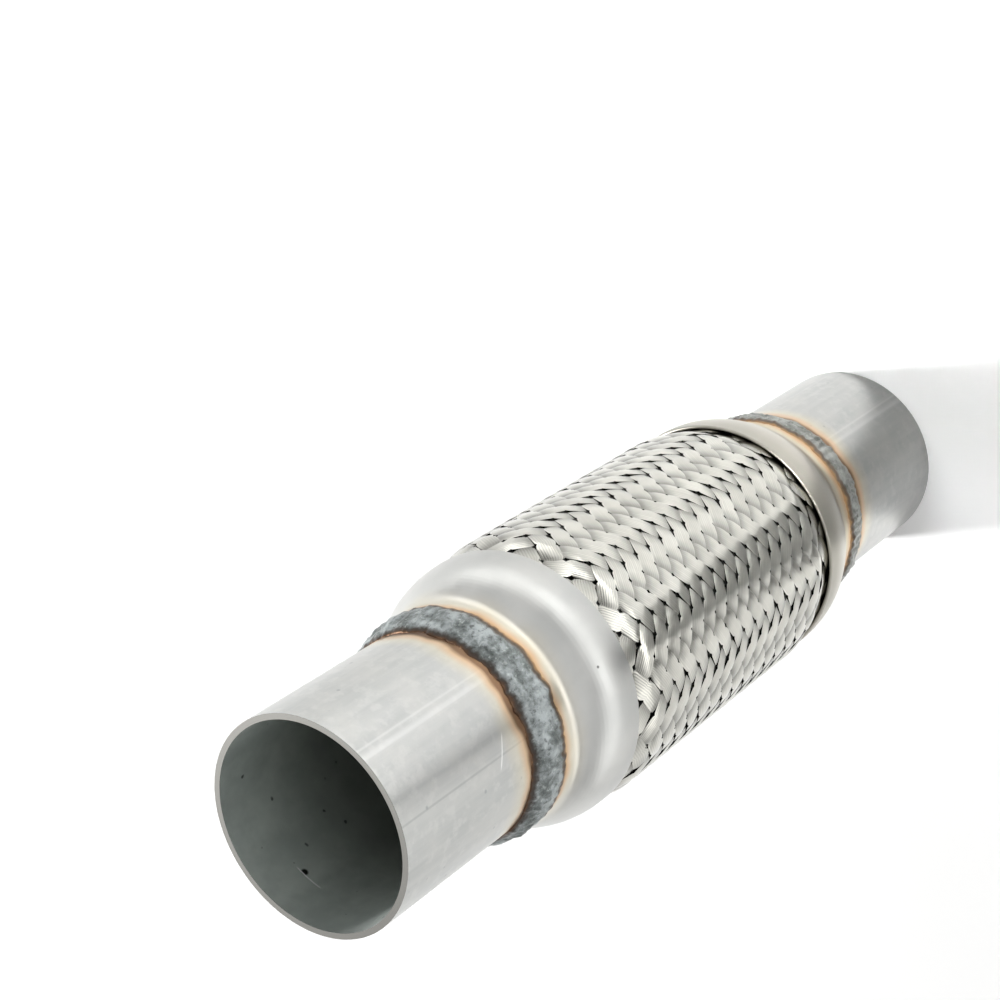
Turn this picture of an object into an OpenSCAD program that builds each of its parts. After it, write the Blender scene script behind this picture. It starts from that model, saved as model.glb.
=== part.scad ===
// Exhaust flex pipe: tube ends welded into flared caps that clamp a woven braid over a bellows
// The pipe stands on its outlet end, with Z along its axis from the outlet's cut face
// Each end is drawn once, with Z as the distance from its own cut face

/* [Overall] */
// Length from one cut tube end to the other
overall_length = 266; // [230:1:400]

/* [Tube ends] */
// Outside diameter of each tube end
tube_od = 54.5; // [45:0.5:65]
// Sheet thickness of the tube
tube_wall = 1.5; // [1.2:0.1:2.5]
// Bare length of tube outside the weld
tube_bare = 48; // [30:1:60]
// Length of the rolled-down tail inside the weld and neck
tube_tail = 14; // [9:0.5:18]
// How far the tail is rolled down, on the radius
tail_step = 0.4; // [0.3:0.05:0.6]

/* [Weld beads] */
// Length of a bead from its toe on the tube to its toe on the cap
weld_length = 11; // [9.5:0.5:13]
// Rise of a bead's crown above the line between its toes
weld_crown = 1.4; // [0.8:0.1:2]
// Distance from the toe on the tube to the sheet edges in the weld
weld_root = 7.5; // [6:0.5:8.5]

/* [End caps] */
// Sheet thickness of a cap
cap_sheet = 1; // [0.8:0.1:1.5]
// Straight length of the neck
cap_neck = 5; // [4:0.5:10]
// Steepest angle of the flare to the axis
cap_flare = 34; // [26:1:50]
// Radius of the hollow curve between neck and flare
cap_hollow = 7; // [3:0.5:12]
// Straight length of the skirt over the braid
cap_skirt = 2.5; // [2:0.1:8]

/* [Bellows] */
// Sheet thickness of the bellows
bellows_wall = 0.6; // [0.4:0.05:0.8]
// Length of one convolution
fold_pitch = 6; // [5:0.25:8]
// Height of the convolutions, from the cuff's inner face to the crests
fold_height = 4.9; // [4.7:0.1:8]

/* [Outer braid] */
// Strands that run each way round the sleeve
strands = 24; // [16:2:28]
// Thickness of the sleeve between its inner face and the strands' crowns
braid_wall = 1.3; // [1.2:0.1:1.8]
// Thickness of the sleeve where a neck squeezes it
braid_pressed = 0.8; // [0.6:0.1:1]
// Depth of the spaces between strands, below the crowns
weave_relief = 0.9; // [0.4:0.05:1]
// Distance along the axis between crossings of two strands
weave_pitch = 6.2; // [5.5:0.1:9]
// How much looser the weave gets towards the caps
weave_loosening = 0.05; // [0:0.01:0.08]
// Size of the open gaps beside the caps, as a share of the weave's own grid
open_share = 0.3; // [0.15:0.05:0.4]
// How far the sleeve swells between the caps, on the radius
braid_swell = 2.8; // [0.5:0.1:4]
// Length over which the sleeve swells at each end
swell_length = 10; // [6:1:25]
// Length of weave hidden under each skirt
weave_cover = 1.5; // [1:0.1:2]
// Angle of the first column of crossings round the axis
weave_start = 23; // [0:0.5:30]

/* [Liner] */
// Thickness of the inner braid
liner_wall = 0.8; // [0.5:0.1:1.2]
// Thickness of a liner ring
ring_wall = 0.9; // [0.6:0.1:1.2]
// Length of a liner ring
ring_length = 8; // [5:0.5:12]
// Open groove between a tube's tail and the liner
liner_groove = 1.5; // [0.5:0.1:3]
// Jaw marks that expanding the ring left round its edge
jaw_marks = 12; // [6:1:16]
// Width of a jaw mark
jaw_width = 2; // [1:0.25:3]
// Length of a jaw mark along the ring
jaw_length = 2.5; // [1:0.25:4]
// Depth of a jaw mark
jaw_depth = 0.4; // [0.2:0.05:0.5]

/* [Fits] */
// Clearance between nested sheets, on the radius
nest_gap = 0.1; // [0.05:0.05:0.3]
// Clearance between the bellows' crests and the braid at the caps
crest_gap = 0.3; // [0.2:0.05:0.6]
// Open gap between the braid and a skirt's inner face, on the radius
skirt_gap = 0.9; // [0.2:0.1:1.5]

/* [Hidden] */
$fn = 96;
slack = 1;

// Radii of the nested sheets at a neck, from the bore outwards
tube_r = tube_od / 2;
bore_r = tube_r - tube_wall;
tail_r = tube_r - tail_step;
cuff_in = tail_r + nest_gap;
cuff_out = cuff_in + bellows_wall;
pressed_in = cuff_out + nest_gap;
pressed_out = pressed_in + braid_pressed;
neck_in = pressed_out + nest_gap;
neck_out = neck_in + cap_sheet;

// Radii at a skirt, from the bellows' crests outwards
crest_r = cuff_in + fold_height;
lip_in = crest_r + crest_gap;
lip_out = lip_in + braid_wall;
skirt_in = lip_out + skirt_gap;
skirt_out = skirt_in + cap_sheet;

// Distances from a tube's cut face
edge_z = tube_bare + weld_root;
tail_z = tube_bare + tube_tail;
flare_z = edge_z + cap_neck;
flare_rise = skirt_out - neck_out;
skirt_z = flare_z + flare_rise / tan(cap_flare / 2);
lip_z = skirt_z + cap_skirt;
liner_z = tail_z + liner_groove;

// The flare is a hollow arc and a crowned arc of one angle that meet in line
crown_r = flare_rise / (1 - cos(cap_flare)) - cap_hollow;

// Radii of the liner, from the bellows inwards
liner_out = cuff_in - nest_gap;
liner_in = liner_out - liner_wall;
ring_out = liner_in - nest_gap;
ring_in = ring_out - ring_wall;

// Whole convolutions that fit between the skirts, centred on the pipe
folds = floor((overall_length - 2 * skirt_z) / fold_pitch);
fold_start = (overall_length - folds * fold_pitch) / 2;
bend = fold_pitch / 4;
bend_out = bend + bellows_wall / 2;
bend_in = bend - bellows_wall / 2;
root_c = cuff_in + bend_out;
crest_c = crest_r - bend_out;

// Grid of the weave: columns round the sleeve and rows along it, two to a strand
columns = 2 * strands;
column_angle = 360 / columns;
weave_z = lip_z - weave_cover;
weave_half = overall_length / 2 - weave_z;
rows = 2 * round(2 * weave_half / weave_pitch);
loosen_power = 9;
shallow_share = 0.45;
groove_share = 0.8;

// Draws a shape at the inlet end, turned end for end
module at_inlet() {
    translate([0, 0, overall_length])
        mirror([0, 0, 1])
            children();
}

// Plain tube with a rolled-down tail
module spigot() {
    rotate_extrude()
        polygon([
            [bore_r, 0],
            [tube_r, 0],
            [tube_r, tube_bare],
            [tail_r, tube_bare],
            [tail_r, tail_z],
            [bore_r, tail_z]
        ]);
}

// Points along an arc round a centre, from angle a0 to angle a1
arc_steps = 14;
function arc(centre, r, a0, a1) = [
    for (i = [0 : arc_steps])
        let (a = a0 + (a1 - a0) * i / arc_steps)
        centre + r * [cos(a), sin(a)]
];

// Section of a cap: neck, hollow arc, crowned arc, skirt and rounded lip
module cap_section() {
    hollow_c = [neck_out + cap_hollow, flare_z];
    crown_c = [skirt_out - crown_r, skirt_z];
    lip_c = [skirt_in + cap_sheet / 2, lip_z - cap_sheet / 2];
    polygon(concat(
        [[neck_out, edge_z]],
        arc(hollow_c, cap_hollow, 180, 180 - cap_flare),
        arc(crown_c, crown_r, -cap_flare, 0),
        arc(lip_c, cap_sheet / 2, 0, 180),
        arc(crown_c, crown_r - cap_sheet, 0, -cap_flare),
        arc(hollow_c, cap_hollow + cap_sheet, 180 - cap_flare, 180),
        [[neck_in, edge_z]]
    ));
}

module end_cap() {
    rotate_extrude()
        cap_section();
}

// Bead with a round crown from the tube to the neck, filled down to the tail and the sheet edges
module weld_bead() {
    run = [neck_out - tube_r, weld_length];
    chord = norm(run);
    bead_r = chord * chord / (8 * weld_crown) + weld_crown / 2;
    normal = [run[1], -run[0]] / chord;
    middle = [tube_r, tube_bare] + run / 2;
    centre = middle - (bead_r - weld_crown) * normal;
    top_r = neck_out + 2 * weld_crown + slack;
    end_z = tube_bare + weld_length + slack;
    rotate_extrude()
        intersection() {
            translate(centre)
                circle(r = bead_r);
            polygon([
                [tail_r, tube_bare],
                [top_r, tube_bare],
                [top_r, end_z],
                [neck_out, end_z],
                [neck_out, edge_z],
                [tail_r, edge_z]
            ]);
        }
}

// Half of a round bend in the bellows, opening outwards at a root or inwards at a crest
module fold_bend(r, z, side) {
    translate([r, z])
        intersection() {
            difference() {
                circle(r = bend_out);
                circle(r = bend_in);
            }
            translate([side > 0 ? 0 : -fold_pitch, -fold_pitch])
                square([fold_pitch, 2 * fold_pitch]);
        }
}

// Straight side of a convolution between its bends
module fold_leg(z) {
    translate([root_c, z - bellows_wall / 2])
        square([crest_c - root_c, bellows_wall]);
}

// Cuff and quarter bend that lead from one end into the convolutions
module cuff_section() {
    translate([cuff_in, edge_z])
        square([bellows_wall, fold_start - edge_z]);
    translate([root_c, fold_start])
        intersection() {
            difference() {
                circle(r = bend_out);
                circle(r = bend_in);
            }
            translate([-fold_pitch, 0])
                square(fold_pitch);
        }
}

module bellows_section() {
    cuff_section();
    translate([0, overall_length])
        mirror([0, 1])
            cuff_section();
    for (i = [0 : folds - 1]) {
        z = fold_start + i * fold_pitch;
        fold_leg(z + bend);
        fold_bend(crest_c, z + 2 * bend, 1);
        fold_leg(z + 3 * bend);
    }
    for (i = [1 : folds - 1])
        fold_bend(root_c, fold_start + i * fold_pitch, -1);
}

// Ring rolled into the liner's end, with the marks of the jaws that expanded it
module liner_ring() {
    difference() {
        rotate_extrude()
            translate([ring_in, liner_z])
                square([ring_wall, ring_length]);
        for (i = [0 : jaw_marks - 1])
            rotate([0, 0, i * 360 / jaw_marks])
                translate([ring_in - slack, -jaw_width / 2, liner_z + ring_length - jaw_length])
                    cube([slack + jaw_depth, jaw_width, jaw_length + slack]);
    }
}

// Place of a weave row along the pipe: even in the middle, wider apart towards the caps
function row_z(m) =
    let (t = 2 * m / rows - 1)
    overall_length / 2 + weave_half * ((1 - weave_loosening) * t + weave_loosening * t ^ loosen_power);

// Radius of the strands' crowns at a place along the pipe
function crown_at(z) =
    let (from_lip = min(z, overall_length - z) - lip_z, share = max(0, min(1, from_lip / swell_length)))
    lip_out + braid_swell * (1 - cos(180 * share)) / 2;

// Point of the sleeve at a column, a row and a depth below the crowns
function weave_point(n, m, depth) =
    let (z = row_z(m), r = crown_at(z) - depth, a = weave_start + n * column_angle)
    [r * cos(a), r * sin(a), z];

// Crossings lie where column and row add up to an even number, and spaces lie between them
function is_crossing(n, m) = (n + m) % 2 == 0;
function surface_depth(n, m) = is_crossing(n, m) ? 0 : weave_relief;

// Each strand passes over two and under two, so a cell's middle depends on its column alone
function cell_depth(n, m) =
    let (turn = (n + (is_crossing(n, m) ? 0 : 2)) % 4)
    turn == 0 ? 0 : turn == 2 ? groove_share * weave_relief : shallow_share * weave_relief;

// Open gaps stand in the two loosest rows at each cap
gap_rows = [1, 2, rows - 2, rows - 1];
function is_gap(n, m) = !is_crossing(n, m) && len(search(m, gap_rows)) > 0;

// Steps to a grid point's neighbours: along the row, up, back and down
step_n = [1, 0, -1, 0];
step_m = [0, 1, 0, -1];
function gap_point(n, m, k, inside) =
    let (
        n2 = n + step_n[k],
        m2 = m + step_m[k],
        here = weave_point(n, m, inside ? braid_wall : surface_depth(n, m)),
        there = weave_point(n2, m2, inside ? braid_wall : surface_depth(n2, m2))
    )
    here + open_share * (there - here);

// Rows of the sleeve's smooth inner face: every row at the gaps, fewer between them
inner_step = 4;
inner_rows = concat(
    [0, 1, 2, 3],
    [for (m = [3 + inner_step : inner_step : rows - 4]) m],
    [rows - 3, rows - 2, rows - 1, rows]
);

// Rings of a tail under a cap: radius and distance from the cut face, outer face then inner
hollow_round = cap_hollow + cap_sheet + nest_gap;
hollow_flat = hollow_round / cos(cap_flare / 4);
crown_round = crown_r - cap_sheet - (nest_gap + skirt_gap) / 2;
lip_round = crown_r - cap_sheet - skirt_gap;
function hollow_at(a, rad) = [neck_out + cap_hollow - rad * cos(a), flare_z + rad * sin(a)];
function crowned_at(a, rad) = [skirt_out - crown_r + rad * cos(a), skirt_z - rad * sin(a)];
tail_outer = [
    [pressed_out, edge_z],
    hollow_at(0, hollow_flat),
    hollow_at(cap_flare / 2, hollow_flat),
    hollow_at(cap_flare, hollow_flat),
    crowned_at(cap_flare / 2, crown_round),
    crowned_at(0, lip_round)
];
inner_spread = 1 / cos(column_angle / 2);
tail_inner = [
    [pressed_in * inner_spread, edge_z],
    [pressed_in * inner_spread, flare_z],
    hollow_at(cap_flare / 2, hollow_flat + braid_pressed),
    hollow_at(cap_flare, hollow_flat + braid_pressed),
    crowned_at(cap_flare / 2, crown_round - braid_pressed),
    crowned_at(0, lip_round - braid_wall)
];
tails = len(tail_outer);

// One tail ring's points, at the outlet end or turned round to the inlet end
function tail_ring(ring, inlet) = [
    for (n = [0 : columns - 1])
        let (a = weave_start + n * column_angle)
        [ring[0] * cos(a), ring[0] * sin(a), inlet ? overall_length - ring[1] : ring[1]]
];

// First number of each group of points
gap_list = [for (m = gap_rows) for (n = [0 : columns - 1]) if (is_gap(n, m)) [n, m]];
first_cell = columns * (rows + 1);
first_inner = first_cell + columns * rows;
first_gap = first_inner + columns * len(inner_rows);
first_gap_inner = first_gap + 4 * len(gap_list);
first_tail = first_gap_inner + 4 * len(gap_list);

function col(n) = (n + columns) % columns;
function id_top(n, m) = m * columns + col(n);
function id_cell(n, m) = first_cell + m * columns + col(n);
function id_inner(n, i) = first_inner + i * columns + col(n);
function id_gap(n, m, k, inside) =
    let (place = search(m, gap_rows)[0], nth = place * strands + floor(col(n) / 2))
    (inside ? first_gap_inner : first_gap) + 4 * nth + k;
function id_tail(n, j, inside, inlet) =
    first_tail + (((inlet ? 2 : 0) + (inside ? 1 : 0)) * tails + j) * columns + col(n);

// A cell's corner is one point, or two on its sides where a gap cuts it off
function top_corner(n, m, before, after) =
    is_gap(col(n), m) ? [id_gap(n, m, before, false), id_gap(n, m, after, false)] : [id_top(n, m)];
function inner_corner(n, i, before, after) =
    let (m = inner_rows[i])
    is_gap(col(n), m) ? [id_gap(n, m, before, true), id_gap(n, m, after, true)] : [id_inner(n, i)];
function top_outline(n, m) = concat(
    top_corner(n, m, 0, 1),
    top_corner(n, m + 1, 3, 0),
    top_corner(n + 1, m + 1, 2, 3),
    top_corner(n + 1, m, 1, 2)
);
function inner_outline(n, i) = concat(
    inner_corner(n, i, 0, 1),
    inner_corner(n, i + 1, 3, 0),
    inner_corner(n + 1, i + 1, 2, 3),
    inner_corner(n + 1, i, 1, 2)
);

// Triangles round a middle point, and a four-sided face split in two
function fan(middle, outline) = [
    for (i = [0 : len(outline) - 1])
        [middle, outline[i], outline[(i + 1) % len(outline)]]
];
function split(a, b, c, d) = [[a, b, c], [a, c, d]];
function turned(outline) = [for (i = [len(outline) - 1 : -1 : 0]) outline[i]];
function spread(outline) = [for (i = [1 : len(outline) - 2]) [outline[0], outline[i], outline[i + 1]]];

// Woven sleeve in one closed wall, with smooth tails that follow the caps down to the necks
module woven_sleeve() {
    last = len(inner_rows) - 1;
    around = [0 : columns - 1];
    points = concat(
        [for (m = [0 : rows]) for (n = around) weave_point(n, m, surface_depth(n, m))],
        [for (m = [0 : rows - 1]) for (n = around) weave_point(n + 0.5, m + 0.5, cell_depth(n, m))],
        [for (m = inner_rows) for (n = around) weave_point(n, m, braid_wall)],
        [for (g = gap_list) for (k = [0 : 3]) gap_point(g[0], g[1], k, false)],
        [for (g = gap_list) for (k = [0 : 3]) gap_point(g[0], g[1], k, true)],
        [for (ring = tail_outer) each tail_ring(ring, false)],
        [for (ring = tail_inner) each tail_ring(ring, false)],
        [for (ring = tail_outer) each tail_ring(ring, true)],
        [for (ring = tail_inner) each tail_ring(ring, true)]
    );
    top_faces = [for (m = [0 : rows - 1]) for (n = around) each fan(id_cell(n, m), top_outline(n, m))];
    inner_faces = [for (i = [0 : last - 1]) for (n = around) each spread(turned(inner_outline(n, i)))];
    gap_faces = [
        for (g = gap_list) for (k = [0 : 3])
            let (next = (k + 1) % 4)
            each split(
                id_gap(g[0], g[1], next, false), id_gap(g[0], g[1], k, false),
                id_gap(g[0], g[1], k, true), id_gap(g[0], g[1], next, true)
            )
    ];
    tail_faces = [
        for (inlet = [false, true]) for (inside = [false, true]) for (j = [0 : tails - 2]) for (n = around)
            let (
                low = inlet == inside ? j : j + 1,
                high = inlet == inside ? j + 1 : j
            )
            each split(
                id_tail(n, low, inside, inlet), id_tail(n, high, inside, inlet),
                id_tail(n + 1, high, inside, inlet), id_tail(n + 1, low, inside, inlet)
            )
    ];
    join_faces = [
        for (n = around) each concat(
            split(id_tail(n, tails - 1, false, false), id_top(n, 0),
                id_top(n + 1, 0), id_tail(n + 1, tails - 1, false, false)),
            split(id_inner(n, 0), id_tail(n, tails - 1, true, false),
                id_tail(n + 1, tails - 1, true, false), id_inner(n + 1, 0)),
            split(id_top(n, rows), id_tail(n, tails - 1, false, true),
                id_tail(n + 1, tails - 1, false, true), id_top(n + 1, rows)),
            split(id_tail(n, tails - 1, true, true), id_inner(n, last),
                id_inner(n + 1, last), id_tail(n + 1, tails - 1, true, true))
        )
    ];
    rim_faces = [
        for (n = around) each concat(
            split(id_tail(n, 0, true, false), id_tail(n, 0, false, false),
                id_tail(n + 1, 0, false, false), id_tail(n + 1, 0, true, false)),
            split(id_tail(n, 0, false, true), id_tail(n, 0, true, true),
                id_tail(n + 1, 0, true, true), id_tail(n + 1, 0, false, true))
        )
    ];
    polyhedron(
        points = points,
        faces = concat(top_faces, inner_faces, gap_faces, tail_faces, join_faces, rim_faces),
        convexity = 6
    );
}

module inlet_spigot() {
    color("silver")
        at_inlet()
            spigot();
}

module outlet_spigot() {
    color("silver")
        spigot();
}

module inlet_end_cap() {
    color("gainsboro")
        at_inlet()
            end_cap();
}

module outlet_end_cap() {
    color("gainsboro")
        end_cap();
}

module inlet_weld_bead() {
    color("slategray")
        at_inlet()
            weld_bead();
}

module outlet_weld_bead() {
    color("slategray")
        weld_bead();
}

module outer_braid() {
    color("lightgray")
        woven_sleeve();
}

module bellows() {
    color("darkgray")
        rotate_extrude()
            bellows_section();
}

module inner_braid() {
    color("dimgray")
        rotate_extrude()
            translate([liner_in, liner_z])
                square([liner_wall, overall_length - 2 * liner_z]);
}

module inlet_liner_ring() {
    color("gray")
        at_inlet()
            liner_ring();
}

module outlet_liner_ring() {
    color("gray")
        liner_ring();
}

inlet_spigot();
outlet_spigot();
inlet_end_cap();
outlet_end_cap();
inlet_weld_bead();
outlet_weld_bead();
outer_braid();
bellows();
inner_braid();
inlet_liner_ring();
outlet_liner_ring();
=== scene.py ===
import math
import random

import bmesh
import bpy
from mathutils import Matrix, Vector, noise


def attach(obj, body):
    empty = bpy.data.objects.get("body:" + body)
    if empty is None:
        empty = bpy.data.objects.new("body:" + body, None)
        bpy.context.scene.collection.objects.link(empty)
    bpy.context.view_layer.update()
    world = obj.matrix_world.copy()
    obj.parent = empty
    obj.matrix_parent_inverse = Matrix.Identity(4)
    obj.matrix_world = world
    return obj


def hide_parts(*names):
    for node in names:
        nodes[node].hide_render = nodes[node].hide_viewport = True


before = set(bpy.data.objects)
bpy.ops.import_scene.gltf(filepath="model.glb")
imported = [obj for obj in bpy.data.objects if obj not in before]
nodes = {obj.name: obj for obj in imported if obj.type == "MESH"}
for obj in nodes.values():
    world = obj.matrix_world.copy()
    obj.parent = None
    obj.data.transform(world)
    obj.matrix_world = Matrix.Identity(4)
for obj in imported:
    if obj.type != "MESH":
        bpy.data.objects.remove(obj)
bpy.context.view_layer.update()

MM = 0.001

# The pipe's sizes in millimetres, from the solid model, apart from LIP_R and SWELL: here the strands meet
# the caps' lips further out, for a thinner dark ring. Angles are in degrees, from +X round the axis.
LENGTH = 266.0
MIDDLE = LENGTH / 2
TUBE_R = 27.25
TUBE_BARE = 48.0
WELD_LENGTH = 11.0
NECK_R = 29.55
LIP_Z = 81.97
LIP_R = 34.28
SWELL = 1.97
SWELL_LENGTH = 10.0


# ---- materials ----

BORE_EDGE = (25.80, 25.95)
SEAM_ANGLE = -84.5
FINE_LINE_ANGLE = -50.5
# Two pale lines of painted highlight along the tube
PAINTED_HIGHLIGHT_LINES = ((-44.5, 0.5, 0.28), (-49.0, 1.3, 0.40))  # angle, width, strength
NICK_ANGLE = -83.0
NICK_Z = 228.0
NICK_SLOPE = 0.52
NICK_SHIFT = 1.8
BORE_SPOT = (-19.07, 17.31, 253.32)
BORE_SCORE = (-20.0, 15.8, 253.97)
CAP_DOT = (10.17, -32.72, 194.07)
TUBE_TOE = TUBE_BARE - 1.1
CAP_TOE = TUBE_BARE + WELD_LENGTH - 1.7
LINER_WAVES = 24.0
LINER_LAY = 1.05
FAR_AWAY = 1000.0


class Graph:
    """A material's node tree with short calls for the nodes used here."""

    def __init__(self, name):
        self.material = bpy.data.materials.new(name)
        self.material.use_nodes = True
        self.tree = self.material.node_tree
        self.tree.nodes.clear()
        out = self.node("ShaderNodeOutputMaterial")
        self.shader = self.node("ShaderNodeBsdfPrincipled")
        self.link(self.shader.outputs["BSDF"], out.inputs["Surface"])

    def node(self, kind, **settings):
        made = self.tree.nodes.new(kind)
        for key, value in settings.items():
            setattr(made, key, value)
        return made

    def link(self, source, target):
        self.tree.links.new(source, target)

    def put(self, target, value):
        if isinstance(value, bpy.types.NodeSocket):
            self.link(value, target)
        else:
            target.default_value = value

    def set(self, name, value):
        self.put(self.shader.inputs[name], value)

    def math(self, operation, a, b=None):
        made = self.node("ShaderNodeMath", operation=operation)
        self.put(made.inputs[0], a)
        if b is not None:
            self.put(made.inputs[1], b)
        return made.outputs[0]

    def times(self, a, b):
        return self.math("MULTIPLY", a, b)

    def ease(self, value, low, high):
        """0 at low, 1 at high, smooth between."""
        made = self.node("ShaderNodeMapRange", interpolation_type="SMOOTHSTEP")
        self.put(made.inputs["Value"], value)
        made.inputs["From Min"].default_value = low
        made.inputs["From Max"].default_value = high
        return made.outputs["Result"]

    def fade(self, value, low, high):
        """1 at low, 0 at high, smooth between."""
        return self.math("SUBTRACT", 1.0, self.ease(value, low, high))

    def span(self, value, low, high):
        """Maps 0 to 1 onto low to high."""
        made = self.node("ShaderNodeMapRange")
        self.put(made.inputs["Value"], value)
        made.inputs["To Min"].default_value = low
        made.inputs["To Max"].default_value = high
        return made.outputs["Result"]

    def mix(self, share, a, b, blend="MIX"):
        made = self.node("ShaderNodeMix", data_type="RGBA", blend_type=blend)
        self.put(made.inputs["Factor"], share)
        colour_a, colour_b = [s for s in made.inputs if s.type == "RGBA"]
        for socket, value in ((colour_a, a), (colour_b, b)):
            self.put(socket, value if isinstance(value, bpy.types.NodeSocket) else (*value, 1.0))
        return [s for s in made.outputs if s.type == "RGBA"][0]

    def place(self):
        """Position in millimetres, as a vector and as x, y, z."""
        where = self.node("ShaderNodeNewGeometry").outputs["Position"]
        scaled = self.node("ShaderNodeVectorMath", operation="SCALE")
        self.link(where, scaled.inputs[0])
        scaled.inputs["Scale"].default_value = 1.0 / MM
        split = self.node("ShaderNodeSeparateXYZ")
        self.link(scaled.outputs[0], split.inputs[0])
        return scaled.outputs[0], split.outputs[0], split.outputs[1], split.outputs[2]

    def stretch(self, vector, scale):
        made = self.node("ShaderNodeMapping")
        self.link(vector, made.inputs["Vector"])
        made.inputs["Scale"].default_value = scale
        return made.outputs[0]

    def noise(self, vector, scale, detail=3.0, rough=0.55):
        made = self.node("ShaderNodeTexNoise")
        self.link(vector, made.inputs["Vector"])
        made.inputs["Scale"].default_value = scale
        made.inputs["Detail"].default_value = detail
        made.inputs["Roughness"].default_value = rough
        return made.outputs[0]

    def drift(self, vector, scale, detail, size):
        """Noise about zero, size wide."""
        return self.times(self.math("SUBTRACT", self.noise(vector, scale, detail), 0.5), size)

    def specks(self, vector, scale):
        """Distance to the nearest of scattered points, in cells."""
        made = self.node("ShaderNodeTexVoronoi")
        self.link(vector, made.inputs["Vector"])
        made.inputs["Scale"].default_value = scale
        return made.outputs["Distance"]

    def bump(self, height, distance, strength):
        made = self.node("ShaderNodeBump")
        made.inputs["Strength"].default_value = strength
        made.inputs["Distance"].default_value = distance * MM
        self.link(height, made.inputs["Height"])
        self.set("Normal", made.outputs[0])

    def gap(self, a, b):
        """How far apart two values are."""
        return self.math("ABSOLUTE", self.math("SUBTRACT", a, b))

    def from_end(self, z):
        """Distance from the nearer cut face, in millimetres."""
        return self.math("SUBTRACT", MIDDLE, self.gap(z, MIDDLE))

    def radius(self, x, y):
        return self.math("SQRT", self.math("ADD", self.times(x, x), self.times(y, y)))

    def near(self, vector, point):
        """Distance from a point, in millimetres."""
        made = self.node("ShaderNodeVectorMath", operation="DISTANCE")
        self.link(vector, made.inputs[0])
        made.inputs[1].default_value = point
        return made.outputs["Value"]

    def line_along(self, x, y, angle):
        """Distance from a line along the pipe, in millimetres. The pipe's other side is far away."""
        c, s = math.cos(math.radians(angle)), math.sin(math.radians(angle))
        across = self.gap(self.times(x, s), self.times(y, c))
        ahead = self.math("ADD", self.times(x, c), self.times(y, s))
        behind = self.times(self.math("LESS_THAN", ahead, 0.0), FAR_AWAY)
        return self.math("ADD", across, behind)


def heat_tint(g, base, away, strong):
    """Colours steel by its distance from a weld's toe: brown at the toe, then orange, then straw."""
    straw = g.times(g.fade(away, 2.0, 9.0), 0.36 * strong)
    orange = g.times(g.fade(away, 0.9, 4.2), 0.62 * strong)
    brown = g.times(g.fade(away, -0.2, 1.6), 0.90)
    colour = g.mix(straw, base, (0.80, 0.70, 0.47))
    colour = g.mix(orange, colour, (0.60, 0.35, 0.16))
    return g.mix(brown, colour, (0.12, 0.06, 0.03))


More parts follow.
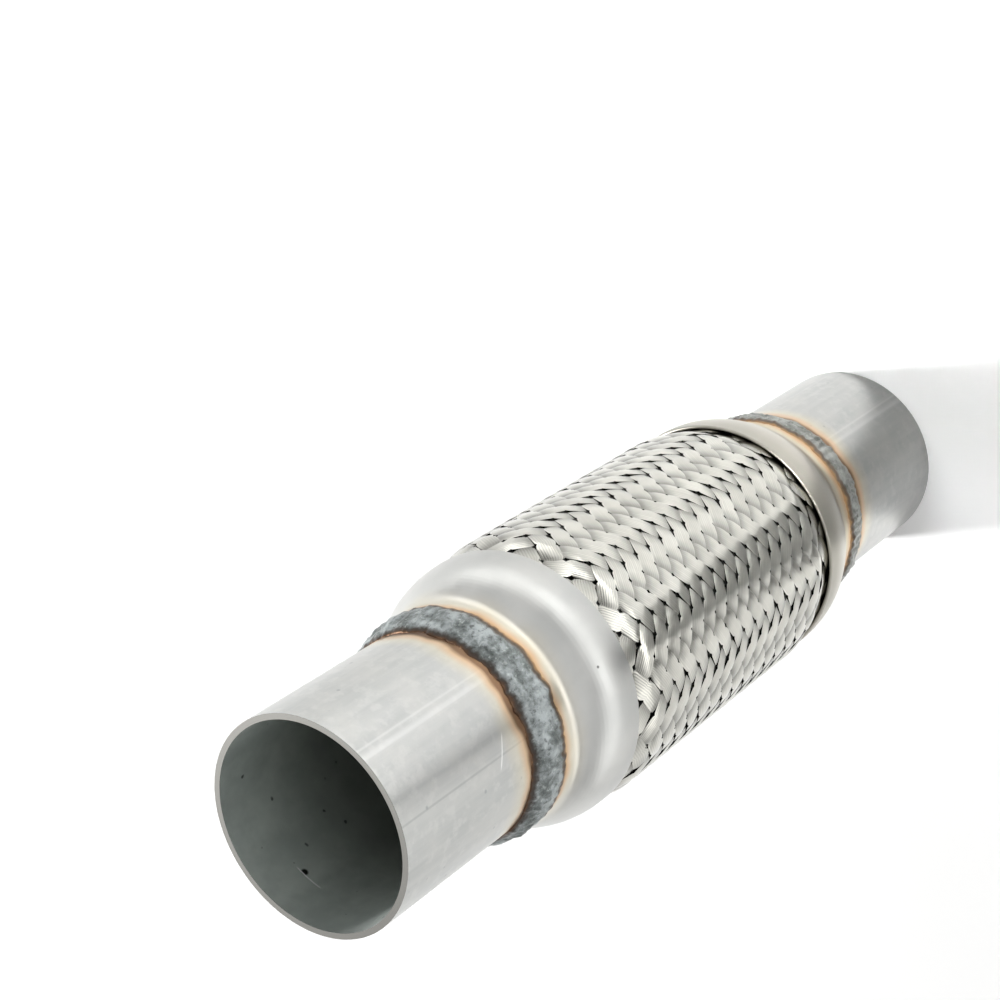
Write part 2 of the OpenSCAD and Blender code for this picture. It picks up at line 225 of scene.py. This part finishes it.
def spigot_material():
    g = Graph("spigot_steel")
    vector, x, y, z = g.place()
    s = g.from_end(z)
    inlet = g.math("GREATER_THAN", z, MIDDLE)
    outlet = g.math("LESS_THAN", z, MIDDLE)
    streaks = g.noise(g.stretch(vector, (1.0, 1.0, 0.04)), 0.35, 4.0, 0.55)
    cloud = g.noise(vector, 0.09, 5.0, 0.6)
    grain = g.noise(vector, 1.8, 3.0)
    mottle = g.noise(vector, 0.30, 4.0, 0.6)

    # Satin steel with streaks, clouds and pits
    base = g.mix(g.ease(streaks, 0.30, 0.70), (0.455, 0.465, 0.455), (0.53, 0.535, 0.52))
    base = g.mix(g.times(g.ease(mottle, 0.48, 0.66), 0.5), base, (0.60, 0.60, 0.58))
    base = g.mix(g.times(g.ease(cloud, 0.40, 0.70), 0.45), base, (0.58, 0.575, 0.55))
    base = g.mix(g.times(g.ease(grain, 0.60, 0.80), 0.25), base, (0.39, 0.40, 0.39))
    pits = g.fade(g.specks(vector, 0.13), 0.03, 0.085)
    base = g.mix(g.times(pits, 0.55), base, (0.25, 0.27, 0.28))

    # Lines along the tube: a seam, a fine dark line and two pale lines of painted highlight
    seam = g.fade(g.line_along(x, y, SEAM_ANGLE), 0.10, 0.40)
    base = g.mix(g.times(seam, g.times(inlet, 0.45)), base, (0.32, 0.33, 0.33))
    fine = g.fade(g.line_along(x, y, FINE_LINE_ANGLE), 0.08, 0.30)
    base = g.mix(g.times(fine, g.span(cloud, 0.0, 0.5)), base, (0.42, 0.42, 0.41))
    for angle, wide, depth in PAINTED_HIGHLIGHT_LINES:
        painted_highlight = g.fade(g.line_along(x, y, angle), 0.05, wide)
        base = g.mix(g.times(painted_highlight, depth), base, (0.78, 0.78, 0.76))
    # Painted shade: the outlet tube's colour is darker than the inlet tube's
    base = g.mix(outlet, base, (0.88, 0.88, 0.88), "MULTIPLY")

    # A bright nick that slants over the inlet tube
    lean = g.math("ADD", g.math("SUBTRACT", z, NICK_Z), g.times(x, NICK_SLOPE))
    nick = g.fade(g.gap(lean, NICK_SHIFT), 0.10, 0.32)
    nick = g.times(nick, g.fade(g.line_along(x, y, NICK_ANGLE), 2.6, 4.2))
    base = g.mix(g.times(nick, g.times(inlet, 0.8)), base, (0.88, 0.88, 0.86))

    away = g.math("ADD", g.math("SUBTRACT", TUBE_TOE, s), g.drift(vector, 0.07, 2.0, 6.0))
    outside = heat_tint(g, base, away, 1.0)
    # The cut face: painted shade makes it dark, and it is rougher
    rim = g.fade(s, 0.02, 0.06)
    outside = g.mix(rim, outside, (0.12, 0.118, 0.11))

    # The bore: painted shade, darker inwards, with dots, one larger spot and a scored line
    inside = g.mix(g.ease(cloud, 0.35, 0.7), (0.56, 0.60, 0.58), (0.68, 0.72, 0.69))
    inside = g.mix(g.times(g.ease(s, 4.0, 46.0), 0.75), inside, (0.13, 0.14, 0.12))
    size = g.drift(vector, 0.35, 2.0, 0.5)
    dots = g.fade(g.math("ADD", g.specks(vector, 0.22), size), 0.02, 0.11)
    inside = g.mix(g.times(dots, 0.75), inside, (0.03, 0.03, 0.03))
    spot = g.ease(g.near(vector, BORE_SPOT), 0.55, 1.15)
    inside = g.mix(spot, (0.02, 0.02, 0.018), inside)
    score = g.fade(g.gap(z, BORE_SCORE[2]), 0.08, 0.30)
    score = g.times(score, g.ease(g.near(vector, BORE_SCORE), 4.2, 3.2))
    inside = g.mix(g.times(score, 0.9), inside, (1.0, 1.0, 1.0))

    bore = g.times(g.fade(g.radius(x, y), *BORE_EDGE), g.math("SUBTRACT", 1.0, rim))
    g.set("Base Color", g.mix(bore, outside, inside))
    g.set("Metallic", 1.0)
    rough = g.math("ADD", g.span(streaks, 0.26, 0.35), g.times(bore, 0.25))
    g.set("Roughness", g.math("ADD", rough, g.times(rim, 0.20)))
    g.bump(g.math("ADD", g.times(streaks, 0.4), g.times(mottle, 0.6)), 0.03, 0.4)
    return g.material


def cap_material():
    g = Graph("cap_steel")
    vector, _, _, z = g.place()
    s = g.from_end(z)
    outlet = g.math("LESS_THAN", z, MIDDLE)
    cloud = g.noise(vector, 0.07, 4.0, 0.55)
    base = g.mix(g.ease(cloud, 0.3, 0.7), (0.53, 0.535, 0.52), (0.60, 0.60, 0.58))
    # The outlet cap is darker and warmer: partly heat tint, partly painted shade and painted warm reflection
    base = g.mix(outlet, base, (0.88, 0.84, 0.76), "MULTIPLY")
    # Painted shade: the cap is darker towards the lip
    base = g.mix(g.times(g.ease(s, 72.0, 81.0), 0.9), base, (0.80, 0.80, 0.80), "MULTIPLY")
    dot = g.ease(g.near(vector, CAP_DOT), 0.45, 0.25)
    base = g.mix(g.times(dot, 0.8), base, (0.06, 0.06, 0.06))
    away = g.math("ADD", g.math("SUBTRACT", s, CAP_TOE), g.drift(vector, 0.07, 2.0, 5.0))
    g.set("Base Color", heat_tint(g, base, away, 1.25))
    g.set("Metallic", 1.0)
    g.set("Roughness", g.span(cloud, 0.27, 0.32))
    return g.material


def weld_material():
    g = Graph("weld")
    vector, _, _, z = g.place()
    outlet = g.math("LESS_THAN", z, MIDDLE)
    patch = g.noise(vector, 0.16, 5.0, 0.68)
    fine = g.noise(vector, 0.8, 5.0, 0.65)
    colour = g.mix(g.ease(patch, 0.34, 0.66), (0.12, 0.135, 0.13), (0.43, 0.465, 0.47))
    colour = g.mix(g.times(g.ease(fine, 0.54, 0.70), 0.55), colour, (0.58, 0.62, 0.60))
    colour = g.mix(g.times(g.fade(fine, 0.30, 0.48), 0.7), colour, (0.05, 0.053, 0.05))
    colour = g.mix(g.times(outlet, 0.35), colour, (1.0, 0.86, 0.70), "MULTIPLY")

    # The toes, by the place across the bead: 0 at the tube, 1 at the cap. Dark lines at both toes: painted
    # shade of the undercuts; brown and orange: heat tint
    across = g.node("ShaderNodeAttribute", attribute_name="across").outputs["Fac"]
    place = g.math("ADD", across, g.drift(vector, 0.4, 3.0, 0.16))
    colour = g.mix(g.times(g.fade(place, 0.09, 0.20), 0.92), colour, (0.055, 0.042, 0.034))
    colour = g.mix(g.times(g.fade(place, 0.02, 0.10), 0.85), colour, (0.11, 0.06, 0.033))
    colour = g.mix(g.times(g.ease(place, 0.76, 0.85), 0.92), colour, (0.085, 0.055, 0.035))
    colour = g.mix(g.ease(place, 0.87, 0.96), colour, (0.36, 0.21, 0.10))
    g.set("Base Color", colour)
    g.set("Metallic", 0.85)
    g.set("Roughness", g.span(fine, 0.32, 0.55))
    g.bump(fine, 0.14, 0.7)
    return g.material


def braid_material():
    g = Graph("braid_wire")
    vector = g.place()[0]
    cloud = g.noise(vector, 0.11, 3.0)
    fine = g.noise(vector, 1.4, 3.0)
    colour = g.mix(g.ease(cloud, 0.3, 0.7), (0.70, 0.69, 0.63), (0.83, 0.82, 0.755))
    # The colour is multiplied by painted shade where strands dive under and between wires, and by random
    # tone
    painted_shade_and_tone = g.node("ShaderNodeAttribute", attribute_name="painted_shade_and_tone").outputs["Color"]
    g.set("Base Color", g.mix(1.0, colour, painted_shade_and_tone, "MULTIPLY"))
    g.set("Metallic", 1.0)
    g.set("Roughness", g.span(fine, 0.05, 0.11))
    return g.material


def bellows_material():
    g = Graph("bellows_steel")
    cloud = g.noise(g.place()[0], 0.2, 3.0)
    # Nearly black: painted shade for the bellows seen through the braid's gaps
    g.set("Base Color", g.mix(cloud, (0.025, 0.024, 0.022), (0.07, 0.068, 0.062)))
    g.set("Metallic", 0.6)
    g.set("Roughness", g.span(cloud, 0.45, 0.65))
    return g.material


def liner_material():
    g = Graph("liner_wire")
    vector, x, y, z = g.place()
    angle = g.times(g.math("ARCTAN2", y, x), LINER_WAVES)
    lay = g.times(z, LINER_LAY)
    rising = g.math("SINE", g.math("ADD", angle, lay))
    falling = g.math("SINE", g.math("SUBTRACT", angle, lay))
    weave = g.times(rising, falling)
    streaks = g.noise(g.stretch(vector, (1.0, 1.0, 0.04)), 0.25, 3.0)
    colour = g.mix(g.ease(weave, -0.6, 0.6), (0.08, 0.08, 0.075), (0.26, 0.26, 0.245))
    colour = g.mix(g.times(g.ease(streaks, 0.5, 0.7), 0.5), colour, (0.42, 0.42, 0.40))
    g.set("Base Color", colour)
    g.set("Metallic", 0.9)
    g.set("Roughness", g.span(streaks, 0.35, 0.55))
    g.bump(weave, 0.25, 0.8)
    return g.material


def ring_material():
    g = Graph("liner_steel")
    cloud = g.noise(g.place()[0], 0.15, 4.0)
    g.set("Base Color", g.mix(cloud, (0.34, 0.345, 0.335), (0.58, 0.58, 0.56)))
    g.set("Metallic", 1.0)
    g.set("Roughness", g.span(cloud, 0.30, 0.48))
    g.bump(cloud, 0.05, 0.4)
    return g.material


# ---- pieces ----

def join_rings(faces, low, high, size):
    """Adds the faces between two rings of points."""
    for j in range(size):
        q = (j + 1) % size
        faces.append((low + j, low + q, high + q, high + j))


def new_piece(name, verts, faces, material, smooth=True):
    mesh = bpy.data.meshes.new(name)
    mesh.from_pydata(verts, [], faces)
    mesh.validate()
    mesh.materials.append(material)
    if smooth:
        mesh.polygons.foreach_set("use_smooth", [True] * len(mesh.polygons))
    piece = bpy.data.objects.new(name, mesh)
    bpy.context.scene.collection.objects.link(piece)
    return piece


def recalc_normals(piece):
    b = bmesh.new()
    b.from_mesh(piece.data)
    bmesh.ops.recalc_face_normals(b, faces=b.faces)
    b.to_mesh(piece.data)
    b.free()


# ---- weave ----

STRANDS = 24
COLUMNS = 2 * STRANDS
COLUMN_ANGLE = 360.0 / COLUMNS
ROWS = 34
WEAVE_START = 23.0
WEAVE_Z = LIP_Z - 1.5
LOOSENING = 0.05  # how much the rows open at the lips
LOOSEN_POWER = 9
ROW_STEP = 0.05

WIRES = 8
WIRE_POINTS = 2
STRAND_WIDTH = 5.03
STRAND_SPREAD = 0.72  # how far a strand widens with the pitch
STRAND_THICK = 0.32
STRAND_DROOP = 0.18
UNDERSIDE = 0.48
MID_PITCH = 4.99
WEAVE_RISE = 0.34
VALLEY = 0.03
# Painted shade in the valleys between a strand's wires
VALLEY_PAINTED_SHADE = 0.72
FLAT_TOP = 0.4

PINCH = 0.62
PINCH_POWER = 12
PINCH_STEP = 0.1
PINCH_LEAST = 0.07
TAIL = 0.35
TAIL_BEND = 0.05

SHIFT = 0.08
LIP_SHIFT = 0.20
LIP_REACH = 14.0
WIDTH_WANDER = 0.03
TILT = 0.45
# Painted shade where a strand dives under the crossing strand: the share on top for full colour, and the
# darkest tone
DIVE_FULL = 0.95
DIVE_PAINTED_SHADE = 0.46


def row_z(m):
    t = 2.0 * m / ROWS - 1.0
    half = MIDDLE - WEAVE_Z
    loose = LOOSENING * math.copysign(abs(t) ** LOOSEN_POWER, t)
    return MIDDLE + half * ((1.0 - LOOSENING) * t + loose)


def crown_at(z):
    share = max(0.0, min(1.0, (min(z, LENGTH - z) - LIP_Z) / SWELL_LENGTH))
    return LIP_R + SWELL * (1.0 - math.cos(math.pi * share)) / 2.0


def over_under(n):
    """1 where a rising strand lies on top, -1 where it lies below: two over, two under."""
    return math.tanh(FLAT_TOP * math.cos(math.pi * (n - 0.5) / 2.0)) / math.tanh(FLAT_TOP)


def strand_section():
    """Points across a strand: share of its width and height above its middle, top side first."""
    top = []
    count = WIRES * WIRE_POINTS
    for i in range(count + 1):
        across = -0.5 + i / count
        valley = VALLEY if i % WIRE_POINTS == 0 else 0.0
        top.append((across, STRAND_THICK / 2 - valley - STRAND_DROOP * (2 * across) ** 2))
    return top + [(UNDERSIDE, -STRAND_THICK / 2), (-UNDERSIDE, -STRAND_THICK / 2)]


def strand_steps():
    """Places along a strand, in rows, with one at each of its narrow spots."""
    places = [-TAIL, -TAIL_BEND]
    for m in range(ROWS):
        middle = m + 0.5
        dz = row_z(m + 1) - row_z(m)
        column = math.radians(COLUMN_ANGLE) * crown_at(row_z(middle))
        half = max(PINCH_LEAST, column * column / (column * column + dz * dz) - 0.5)
        inner = half - min(PINCH_STEP, half / 2)
        for d in (-half - PINCH_STEP, -half, -inner, inner, half, half + PINCH_STEP):
            places.append(middle + d)
    return places + [ROWS + TAIL_BEND, ROWS + TAIL]


def strand(verts, faces, painted_shades_and_tones, index, rising, rng):
    """Adds one strand of the sleeve to the lists of points, faces and colour tones, which hold painted shade
    and random tone.
    """
    section = strand_section()
    size = len(section)
    first = len(verts)
    way = 1.0 if rising else -1.0
    seed = rng.uniform(0.0, 900.0)
    width = STRAND_WIDTH * rng.uniform(0.975, 1.02)
    lift = rng.uniform(-0.03, 0.03)
    shade = rng.uniform(0.84, 1.0)
    wires = [shade * rng.uniform(0.86, 1.0) for _ in range(WIRES)]
    depth = STRAND_THICK / 2 + WEAVE_RISE - lift
    places = strand_steps()
    for k, u in enumerate(places):
        n = 2 * index + way * u
        z = row_z(u)
        azimuth = math.radians(WEAVE_START + n * COLUMN_ANGLE)
        crown = crown_at(z)

        # The strand's direction on the unrolled sleeve, and its room between its neighbours
        dz = (row_z(u + ROW_STEP) - row_z(u - ROW_STEP)) / (2 * ROW_STEP)
        column = math.radians(COLUMN_ANGLE) * crown
        along = Vector((way * column, dz)).normalized()
        across = Vector((-along.y, along.x))
        share = column * column / (column * column + dz * dz)
        skew = (column / dz - dz / column) / math.hypot(column, dz) / 2.0
        pitch = 2.0 * column * along.y

        # Small wanderings, larger at the lips
        near_lip = max(0.0, 1.0 - (min(z, LENGTH - z) - LIP_Z) / LIP_REACH)
        shift = (SHIFT + LIP_SHIFT * near_lip) * noise.noise(Vector((seed, u * 0.35, 0.0)))
        wide = width * (1.0 + STRAND_SPREAD * (pitch / MID_PITCH - 1.0))
        wide *= 1.0 + WIDTH_WANDER * noise.noise(Vector((seed, u * 0.5, 7.0)))
        tilt = TILT * noise.noise(Vector((seed, u * 0.6, 3.0)))
        pinch = [
            PINCH * ((1.0 + math.cos(2.0 * math.pi * (u + side * way * share))) / 2.0) ** PINCH_POWER
            for side in (-1.0, 1.0)
        ]

        for j, (part, up) in enumerate(section):
            half = wide / 2 - pinch[1 if part > 0 else 0]
            offset = shift + 2.0 * part * half
            a = azimuth + across.x * offset / crown
            zz = z + across.y * offset
            on_top = way * over_under(n + skew * offset)
            r = crown_at(zz) - depth + WEAVE_RISE * on_top + up + tilt * part
            verts.append((r * math.cos(a) * MM, r * math.sin(a) * MM, zz * MM))
            # Painted shade: the strand darkens where it dives under the crossing strand
            dive_shade = max(0.0, min(1.0, on_top / DIVE_FULL))
            dive_shade = DIVE_PAINTED_SHADE + (1.0 - DIVE_PAINTED_SHADE) * dive_shade * dive_shade * (3.0 - 2.0 * dive_shade)
            # Painted shade in the valleys between wires; each wire and strand also differs at random in tone
            in_valley = j % WIRE_POINTS == 0
            wire = VALLEY_PAINTED_SHADE * shade if in_valley else wires[min(j // WIRE_POINTS, WIRES - 1)]
            painted_shades_and_tones.append(dive_shade * wire)
        if k:
            join_rings(faces, first + (k - 1) * size, first + k * size, size)
    faces.append(tuple(range(first + size - 1, first - 1, -1)))
    last = first + (len(places) - 1) * size
    faces.append(tuple(range(last, last + size)))


def braid_layer(name, rising, material):
    """All strands of one direction, creased between their wires."""
    rng = random.Random(11 if rising else 12)
    verts, faces, painted_shades_and_tones = [], [], []
    for i in range(STRANDS):
        strand(verts, faces, painted_shades_and_tones, i, rising, rng)
    piece = new_piece(name, verts, faces, material)
    recalc_normals(piece)
    piece.data.attributes.new("painted_shade_and_tone", "FLOAT", "POINT").data.foreach_set("value", painted_shades_and_tones)
    size = len(strand_section())
    creased = set(range(0, WIRES * WIRE_POINTS + 1, WIRE_POINTS)) | {size - 2, size - 1}
    for edge in piece.data.edges:
        p, q = edge.vertices
        if p % size == q % size and p % size in creased:
            edge.use_edge_sharp = True
    return piece


# ---- weld beads ----

BEAD_CROWN = 1.4
BEAD_ROUND = 720
BEAD_ARC = 20
BEAD_UNDER = (  # radius and distance from the cut face
    (NECK_R - 0.15, TUBE_BARE + 8.3),
    (TUBE_R - 0.2, TUBE_BARE + 7.3),
    (TUBE_R - 0.2, TUBE_BARE + 0.6),
)
TOE_BACK = 0.75
TOE_DIP = 0.12
LUMP_ANGLE = -70.0
LUMP_WIDE = 4.0
LUMP_HIGH = 0.6
LUMP_REACH = 1.3
DENT_TURN = 8.0
DENT_DEEP = 0.35
ROUGH_SCALE = 0.20
ROUGH = ((1.0, 0.60), (2.6, 0.42), (6.5, 0.20))  # scale and height
RIPPLES = 76
RIPPLE_HIGH = 0.17
RIPPLE_BOW = 5.5
NECK_COVER = (0.55, 0.93)
NECK_GAP = 0.06


def bead_point(ring, r, s, inlet):
    z = LENGTH - s if inlet else s
    return (ring.x * r * MM, ring.y * r * MM, z * MM)


def bead_piece(name, inlet, seed, material):
    """A lumpy bead from the tube to the cap's neck, closed underneath."""
    verts, faces, places = [], [], []
    chord = math.hypot(NECK_R - TUBE_R, WELD_LENGTH)
    bead_r = chord * chord / (8 * BEAD_CROWN) + BEAD_CROWN / 2
    half = math.asin(chord / 2 / bead_r)
    size = BEAD_ARC + 1 + len(BEAD_UNDER)
    shift = Vector((seed, 0.0, 0.0))
    for i in range(BEAD_ROUND):
        a = 2 * math.pi * i / BEAD_ROUND
        ring = Vector((math.cos(a), math.sin(a), 0.0))
        toe_tube = -TOE_BACK + 0.9 * noise.noise(ring * 6.0 + shift) + 0.4 * noise.noise(ring * 20.0 + shift)
        toe_cap = 0.7 * noise.noise(ring * 5.0 + shift * 2.0) + 0.3 * noise.noise(ring * 17.0 + shift * 2.0)
        turn = (math.degrees(a) - LUMP_ANGLE + 180.0) % 360.0 - 180.0
        lump = math.exp(-(turn / LUMP_WIDE) ** 2) if inlet else 0.0
        dent = math.exp(-((turn + DENT_TURN) / LUMP_WIDE) ** 2) if inlet else 0.0
        phase = 3.0 * noise.noise(ring * 2.5 + shift)
        ripple_size = 0.6 + noise.noise(ring * 3.0 - shift)
        for j in range(BEAD_ARC + 1):
            t = j / BEAD_ARC
            b = -half + 2 * half * t
            along = bead_r * math.sin(b) + chord / 2
            rise = bead_r * math.cos(b) - (bead_r - BEAD_CROWN)
            s = TUBE_BARE + along * WELD_LENGTH / chord - rise * (NECK_R - TUBE_R) / chord
            r = TUBE_R + along * (NECK_R - TUBE_R) / chord + rise * WELD_LENGTH / chord
            s += toe_tube * (1.0 - t) + toe_cap * t - LUMP_REACH * lump * (1.0 - t) ** 2
            body = math.sin(math.pi * t) ** 0.6
            where = Vector((ring.x * r, ring.y * r, s)) * ROUGH_SCALE + shift
            rough = sum(high * noise.noise(where * scale) for scale, high in ROUGH)
            wave = RIPPLES * a + RIPPLE_BOW * (t - 0.5) ** 2 + phase
            ripple = RIPPLE_HIGH * math.sin(wave) * ripple_size
            r += body * (rough + ripple + LUMP_HIGH * lump - DENT_DEEP * dent)
            r -= TOE_DIP * (1.0 - body)
            if NECK_COVER[0] < t < NECK_COVER[1]:
                r = max(r, NECK_R + NECK_GAP)
            verts.append(bead_point(ring, r, s, inlet))
            places.append(t)
        for r, s in BEAD_UNDER:
            verts.append(bead_point(ring, r, s, inlet))
            places.append(1.0)
    for i in range(BEAD_ROUND):
        join_rings(faces, i * size, ((i + 1) % BEAD_ROUND) * size, size)
    piece = new_piece(name, verts, faces, material)
    recalc_normals(piece)
    piece.data.attributes.new("across", "FLOAT", "POINT").data.foreach_set("value", places)
    return piece


# ---- build ----

materials = {
    "spigot_steel": spigot_material(),
    "cap_steel": cap_material(),
    "weld": weld_material(),
    "braid_wire": braid_material(),
    "bellows_steel": bellows_material(),
    "liner_wire": liner_material(),
    "liner_steel": ring_material(),
}
slots = {
    "inlet_spigot": "spigot_steel",
    "outlet_spigot": "spigot_steel",
    "inlet_end_cap": "cap_steel",
    "outlet_end_cap": "cap_steel",
    "bellows": "bellows_steel",
    "inner_braid": "liner_wire",
    "inlet_liner_ring": "liner_steel",
    "outlet_liner_ring": "liner_steel",
}
for name, slot in slots.items():
    data = nodes[name].data
    data.materials.clear()
    data.materials.append(materials[slot])

rising = braid_layer("braid_rising_strands", True, materials["braid_wire"])
falling = braid_layer("braid_falling_strands", False, materials["braid_wire"])
for piece in (rising, falling):
    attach(piece, "root")
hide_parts("outer_braid")

for name, inlet, seed in (("inlet_weld_lumps", True, 3.1), ("outlet_weld_lumps", False, 41.7)):
    bead = bead_piece(name, inlet, seed, materials["weld"])
    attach(bead, "root")
    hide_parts("inlet_weld_bead" if inlet else "outlet_weld_bead")


# ---- stage, lights and camera ----

FLOOR_SIZE = 8.0
FLOOR_GLOW = 0.04
FOOT_GLOW = 0.36
FOOT_PATCH = (-24.0, -33.0, 0.0)
FOOT_EDGE = (42.0, 10.0)
SKY_LIGHT = 0.05
SKY_SEEN = 0.85
PIPE_MIDDLE = (0.0, 0.0, 0.133)
CARDS = (("left_card", 0.0, 1.6), ("front_card", -60.0, 2.0), ("right_card", -120.0, 1.6))
CARD_SIZE = (0.78, 0.8)
CARD_OUT = 0.76
CARD_AIM = 0.5
CARD_BELOW = 0.495
CAMERA_PLACE = (183.3, -319.2, 582.1)


def floor_material():
    """Pale, with a glow for camera and mirror rays, stronger in the patch that the far tube mirrors."""
    g = Graph("pale_floor")
    path = g.node("ShaderNodeLightPath")
    seen = g.math("MAXIMUM", path.outputs["Is Camera Ray"], path.outputs["Is Glossy Ray"])
    seen = g.math("MAXIMUM", seen, path.outputs["Is Transmission Ray"])
    foot = g.ease(g.near(g.place()[0], FOOT_PATCH), *FOOT_EDGE)
    g.set("Base Color", (0.90, 0.90, 0.895, 1.0))
    g.set("Roughness", 0.9)
    g.set("Specular IOR Level", 0.0)
    g.set("Emission Color", (1.0, 1.0, 1.0, 1.0))
    g.set("Emission Strength", g.times(seen, g.span(foot, FLOOR_GLOW, FOOT_GLOW)))
    return g.material


half = FLOOR_SIZE / 2
floor = new_piece(
    "floor",
    [(-half, -half, 0.0), (half, -half, 0.0), (half, half, 0.0), (-half, half, 0.0)],
    [(0, 1, 2, 3)],
    floor_material(),
    smooth=False,
)

scene = bpy.context.scene
scene.view_settings.view_transform = "Standard"
world = bpy.data.worlds.new("studio")
scene.world = world
world.use_nodes = True
tree = world.node_tree
background = tree.nodes["Background"]
background.inputs["Color"].default_value = (1.0, 1.0, 1.0, 1.0)
path = tree.nodes.new("ShaderNodeLightPath")
seen = path.outputs["Is Camera Ray"]
for name in ("Is Glossy Ray", "Is Transmission Ray"):
    either = tree.nodes.new("ShaderNodeMath")
    either.operation = "MAXIMUM"
    tree.links.new(seen, either.inputs[0])
    tree.links.new(path.outputs[name], either.inputs[1])
    seen = either.outputs[0]
level = tree.nodes.new("ShaderNodeMapRange")
level.inputs["To Min"].default_value = SKY_LIGHT
level.inputs["To Max"].default_value = SKY_SEEN
tree.links.new(seen, level.inputs["Value"])
tree.links.new(level.outputs["Result"], background.inputs["Strength"])


def softbox(name, azimuth, elevation, distance, size, power, target=PIPE_MIDDLE, spread=180.0):
    """A lamp, in metres and watts, that faces a point: the pipe's middle unless another is given."""
    lamp = bpy.data.lights.new(name, "AREA")
    lamp.shape = "RECTANGLE"
    lamp.size, lamp.size_y = size
    lamp.energy = power
    lamp.spread = math.radians(spread)
    a, e = math.radians(azimuth), math.radians(elevation)
    target = Vector(target)
    away = Vector((math.cos(e) * math.cos(a), math.cos(e) * math.sin(a), math.sin(e)))
    place = target + distance * away
    holder = bpy.data.objects.new(name, lamp)
    holder.location = place
    holder.rotation_euler = (place - target).to_track_quat("Z", "Y").to_euler()
    holder.visible_camera = False
    scene.collection.objects.link(holder)


softbox("back_key", 93.0, 40.0, 3.0, (0.4, 0.4), 130.0)
softbox("front_pool", -36.0, 88.0, 1.0, (0.2, 0.2), 0.50, (0.17, -0.12, 0.0), 25.0)
softbox("overhead", 30.0, 82.0, 3.0, (2.0, 2.0), 9.0)
# Cards that lie just over the floor and face up, for the highlight on the inlet's cap
for name, azimuth, power in CARDS:
    a = math.radians(azimuth)
    aim = (CARD_OUT * math.cos(a), CARD_OUT * math.sin(a), CARD_AIM)
    softbox(name, azimuth, -89.5, CARD_BELOW, CARD_SIZE, power, aim)
softbox("side_floor", -130.0, 89.0, 1.0, (0.1, 0.1), 0.05, (-0.15, -0.17, 0.0), 12.0)

camera = bpy.data.cameras.new("camera")
camera.lens = 78.43
camera.sensor_width = 36.0
camera.clip_start = 0.01
holder = bpy.data.objects.new("camera", camera)
right = Vector((-0.19212, -0.80202, -0.56557))
up = Vector((0.94686, 0.0, -0.32164))
back = Vector((0.25796, -0.59731, 0.75940))
turn = Matrix((right, up, back)).transposed()
holder.matrix_world = Matrix.Translation(Vector(CAMERA_PLACE) * MM) @ turn.to_4x4()
scene.collection.objects.link(holder)
scene.camera = holder
